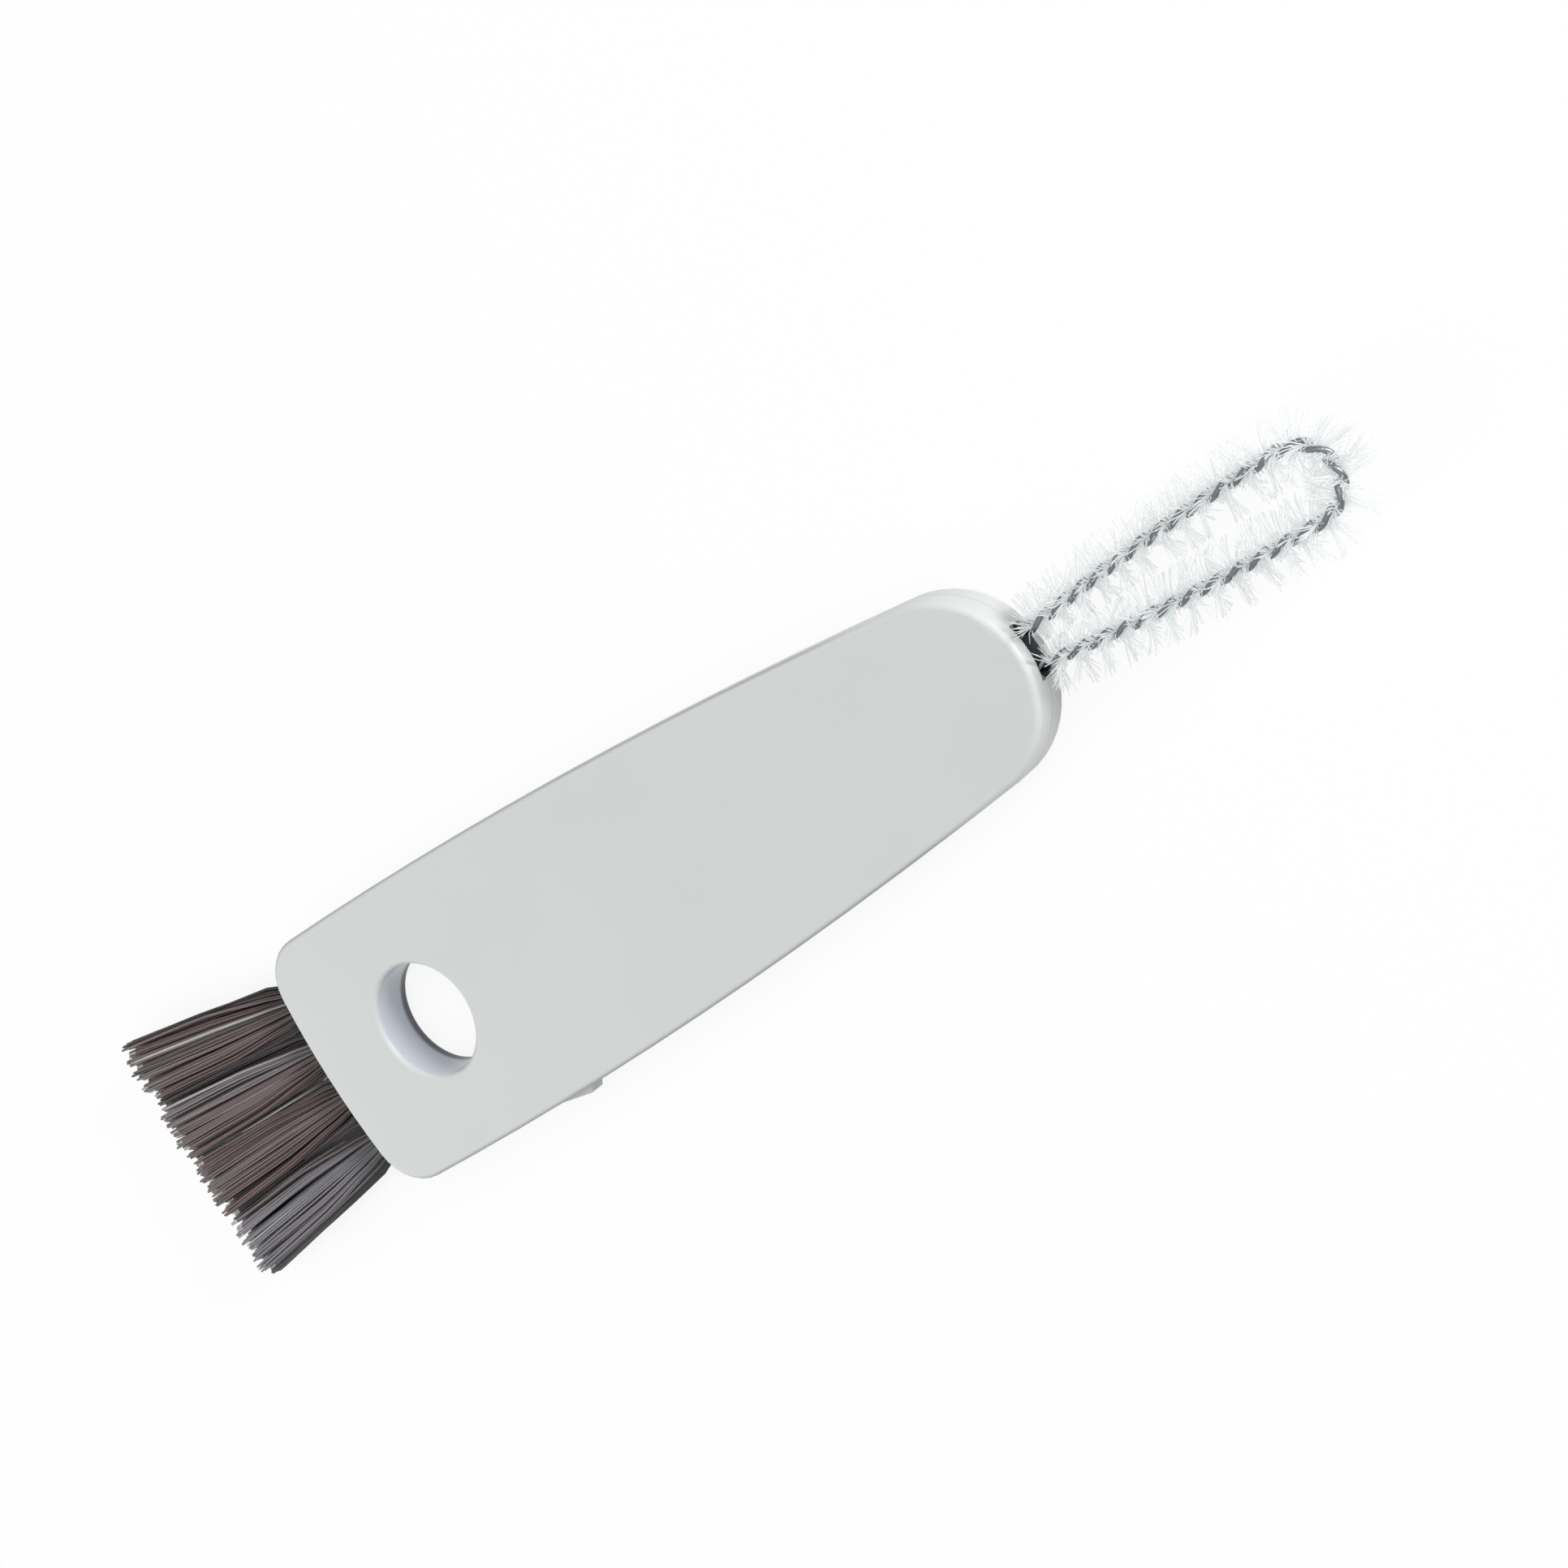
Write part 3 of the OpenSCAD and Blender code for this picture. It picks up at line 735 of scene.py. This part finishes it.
        # Grey stands for real grey filaments and, growing towards the first of the row, for a painted
        # reflection
        grey_and_sheen_share = 0.22 + 0.07 * towards_first + (0.1 if index == 0 else 0)
        # The core filaments and those at the sides of a tuft take the dark colour as painted shade
        slots = np.select(
            [is_core | (at_side > 0.75), tone < grey_and_sheen_share, tone < grey_and_sheen_share + 0.25, tone < 0.88],
            [self.DARK, self.GREY, self.TAUPE, self.BROWN],
            self.DARK,
        )
        slots[(random.uniform(0, 1, count) < 0.02) & ~is_core] = self.PALE
        # Some cut ends are flagged, and their pale colour is a painted highlight, more of it towards the
        # first of the row
        is_flagged_and_highlit = random.uniform(0, 1, count) < 0.12 + 0.06 * towards_first
        return slots, np.where(is_flagged_and_highlit, self.PALE, slots)


class BRUSH_OT_loop_wires(Operator):
    """Build the two wires that are twisted and bent into the loop"""

    bl_idname = "brush.loop_wires"
    bl_label = "Loop wires"

    SIDES = 12
    STEPS_PER_TURN = 24

    def execute(self, context):
        sizes = context.scene.brush.loop
        path = LoopPath()
        steel = drawn_metal("drawn_stainless_wire", sizes.steel, 0.32)
        off_centre = (sizes.wire + WIRE_GAP) / 2
        steps = int(2 * path.half / sizes.pitch * self.STEPS_PER_TURN)
        for node, phase in (("loop_wire_a", 0), ("loop_wire_b", math.pi)):
            points = []
            for s in np.linspace(0, 2 * path.half, steps + 1):
                centre, _, outward = path.at(s)
                turn = path.twist(s, sizes.pitch) + phase
                points.append(centre + off_centre * (math.cos(turn) * outward + math.sin(turn) * UP))
            radii = np.full((1, steps + 1), sizes.wire / 2)
            name = f"{node}_drawn"
            mesh = strands_mesh(name, np.array([points]), radii, self.SIDES, np.zeros(1, int), [steel])
            add_piece(name, mesh, node)
        return {"FINISHED"}


class BRUSH_OT_loop_filaments(Operator):
    """Build the fine filaments that the wires clamp"""

    bl_idname = "brush.loop_filaments"
    bl_label = "Loop filaments"

    SIDES = 4
    POINTS = 5
    SEED = 7
    CLUMP_SIZE = 9
    BARE_ROOT = 0.5 * MM
    # Between the wires there is room for the filaments to spread by 38 degrees
    MOST_SPLAY = 0.66

    def execute(self, context):
        sizes = context.scene.brush.loop
        random = np.random.default_rng(self.SEED)
        path = LoopPath()
        first = path.s_root + self.BARE_ROOT
        last = 2 * path.half - first
        paths = []
        for i, s in enumerate(np.linspace(first, last, sizes.filaments)):
            if i % self.CLUMP_SIZE == 0:
                clump = random.normal(0, 1, (2, 4))
            s += random.uniform(-0.05, 0.05) * MM
            spot = path.at(s)
            # A filament lies across the pair, and both of its ends stick out
            angle = path.twist(s, sizes.pitch) + math.pi / 2
            offset = random.uniform(-0.06, 0.06) * MM
            for end in (0, 1):
                way = angle + end * math.pi
                paths.append(self.long_end(sizes.reach, path, spot, way, offset, clump[end], random))
                # Two short filaments that the wires bend aside fill in beside it
                for spread in random.uniform(-1.1, 1.1, 2):
                    paths.append(self.short_end(spot, way + spread, random))
        radii = np.full((len(paths), self.POINTS), sizes.thickness / 2)
        radii[:, -1] *= 0.7
        name = "loop_filament_brush"
        slots = np.zeros(len(paths), int)
        mesh = strands_mesh(name, np.array(paths), radii, self.SIDES, slots, [clear_nylon(sizes.nylon)])
        add_piece(name, mesh, "loop_filaments")
        return {"FINISHED"}

    def long_end(self, full_reach, path, spot, way, offset, clump, random):
        """A filament that leans and curls with its clump, stops at the middle of the loop and stays off the
        floor. clump holds its splay, its lean and the two parts of its curl."""
        centre, along, outward = spot
        floor = HANDLE_LOW.z + 0.08 * MM
        splay = 0.16 * clump[0] + random.uniform(-0.34, 0.34)
        a = way + np.clip(splay, -self.MOST_SPLAY, self.MOST_SPLAY)
        direction = math.cos(a) * outward + math.sin(a) * UP
        lean = 0.14 * clump[1] + random.normal(0, 0.07)
        reach = full_reach * random.uniform(0.84, 1.0)
        inward = -math.cos(a)
        if inward > 0.01:
            on_leg = centre[0] < path.bend_x
            room = abs(centre[1]) - 0.05 * MM if on_leg else 0.8 * LOOP_BEND_R
            reach = min(reach, room / inward)
        if direction[2] < -0.01:
            reach = min(reach, (floor - centre[2]) / direction[2])
        curl = 0.12 * clump[2:] + random.normal(0, 0.05, 2)
        sideways = np.cross(along, direction)
        bend = curl[0] * along + curl[1] * sideways
        t = np.linspace(0, 1, self.POINTS)[:, None]
        strand = centre + offset * sideways + reach * (t * direction + lean * t * along + bend * t**2)
        strand[:, 2] = np.maximum(strand[:, 2], floor)
        return strand

    def short_end(self, spot, way, random):
        """A short straight filament."""
        centre, along, outward = spot
        direction = math.cos(way) * outward + math.sin(way) * UP
        length = random.uniform(0.65, 1.1) * MM
        t = np.linspace(0, 1, self.POINTS)[:, None]
        return centre + length * t * (direction + random.normal(0, 0.25) * along)


class BRUSH_OT_stage(Operator):
    """Set the white floor, the soft light and the camera"""

    bl_idname = "brush.stage"
    bl_label = "Stage"

    def execute(self, context):
        scene = context.scene
        sizes = scene.brush.stage
        self.floor(scene, sizes.floor)
        self.sky(scene, sizes)
        self.lamp(scene, "soft_lamp", sizes.lamp, 0.3, (0.35, 0.1, 0.45))
        self.lamp(scene, "rim_lamp", sizes.rim_lamp, 0.25, (0.85, 0.15, 0.13))
        self.lamp(scene, "edge_lamp", sizes.edge_lamp, 0.25, (-0.55, -0.05, 0.22))
        self.camera(scene)
        scene.view_settings.view_transform = "Standard"
        return {"FINISHED"}

    def floor(self, scene, paint):
        """A square board 3 m wide, just under the handle."""
        half = 1.5
        corners = [(-half, -half, 0), (half, -half, 0), (half, half, 0), (-half, half, 0)]
        mesh = bpy.data.meshes.new("floor")
        mesh.from_pydata(corners, [], [(0, 1, 2, 3)])
        mesh.materials.append(white_painted_board(paint))
        floor = bpy.data.objects.new("floor", mesh)
        floor.location = (BRUSH_MIDDLE[0], 0, HANDLE_LOW.z - 0.01 * MM)
        scene.collection.objects.link(floor)

    def sky(self, scene, sizes):
        """Light that is bright above and dims towards the horizon, while the camera sees plain white."""
        world = bpy.data.worlds.new("studio")
        world.use_nodes = True
        tree = world.node_tree
        tree.nodes.clear()
        way = add_node(tree, "ShaderNodeTexCoord").outputs["Generated"]
        up = add_node(tree, "ShaderNodeSeparateXYZ", links={0: way}).outputs["Z"]
        strength = add_node(
            tree, "ShaderNodeMapRange",
            {"From Min": 0.05, "From Max": 0.75, "To Min": sizes.horizon, "To Max": sizes.sky},
            {"Value": up},
        )
        sky = add_node(
            tree, "ShaderNodeBackground", {"Color": rgba(sizes.sky_tint)}, {"Strength": strength.outputs[0]}
        )
        white = add_node(tree, "ShaderNodeBackground", {"Color": WHITE, "Strength": 1})
        seen = add_node(tree, "ShaderNodeLightPath").outputs["Is Camera Ray"]
        mix = add_node(tree, "ShaderNodeMixShader", links={0: seen, 1: sky.outputs[0], 2: white.outputs[0]})
        add_node(tree, "ShaderNodeOutputWorld", links={0: mix.outputs[0]})
        scene.world = world

    def lamp(self, scene, name, power, size, place):
        """A square lamp that looks at the middle of the brush."""
        lamp = bpy.data.lights.new(name, "AREA")
        lamp.energy = power
        lamp.size = size
        holder = bpy.data.objects.new(name, lamp)
        holder.location = place
        way = Vector(BRUSH_MIDDLE) - holder.location
        holder.rotation_euler = way.to_track_quat("-Z", "Y").to_euler()
        scene.collection.objects.link(holder)

    def camera(self, scene):
        """The camera at the place and angle that the photograph's perspective gives."""
        data = bpy.data.cameras.new("camera")
        data.lens = 50
        data.sensor_width = 36
        data.clip_start = 0.01
        camera = bpy.data.objects.new("camera", data)
        place = Vector((147.18, 3.98, 145.75)) * MM
        right = Vector((0.70117, -0.53364, -0.47285))
        down = Vector((-0.43188, -0.84556, 0.31385))
        forward = Vector((-0.56731, -0.01585, -0.82335))
        axes = Matrix((right, -down, -forward)).transposed().to_4x4()
        camera.matrix_world = Matrix.Translation(place) @ axes
        scene.collection.objects.link(camera)
        scene.camera = camera


class BRUSH_PT_sidebar(Panel):
    """Lists the pieces of the brush with their sizes and colours"""

    bl_idname = "BRUSH_PT_sidebar"
    bl_label = "Crevice brush"
    bl_space_type = "VIEW_3D"
    bl_region_type = "UI"
    bl_category = "Crevice brush"

    def draw(self, context):
        brush = context.scene.brush
        for group, operators in (
            (brush.handle, [BRUSH_OT_handle]),
            (brush.tufts, [BRUSH_OT_tufts]),
            (brush.loop, [BRUSH_OT_loop_wires, BRUSH_OT_loop_filaments]),
            (brush.stage, [BRUSH_OT_stage]),
        ):
            box = self.layout.box()
            for name in group.__annotations__:
                box.prop(group, name)
            for operator in operators:
                box.operator(operator.bl_idname)


OPERATORS = (BRUSH_OT_handle, BRUSH_OT_tufts, BRUSH_OT_loop_wires, BRUSH_OT_loop_filaments, BRUSH_OT_stage)
CLASSES = (
    BrushHandleProperties,
    BrushTuftProperties,
    BrushLoopProperties,
    BrushStageProperties,
    BrushProperties,
    *OPERATORS,
    BRUSH_PT_sidebar,
)


def register():
    for cls in CLASSES:
        bpy.utils.register_class(cls)
    bpy.types.Scene.brush = PointerProperty(type=BrushProperties)


def unregister():
    del bpy.types.Scene.brush
    for cls in reversed(CLASSES):
        bpy.utils.unregister_class(cls)


def main():
    """Builds the brush and its stage."""
    register()
    for operator in OPERATORS:
        group, name = operator.bl_idname.split(".")
        getattr(getattr(bpy.ops, group), name)()
    bpy.context.view_layer.update()


if __name__ == "__main__":
    main()
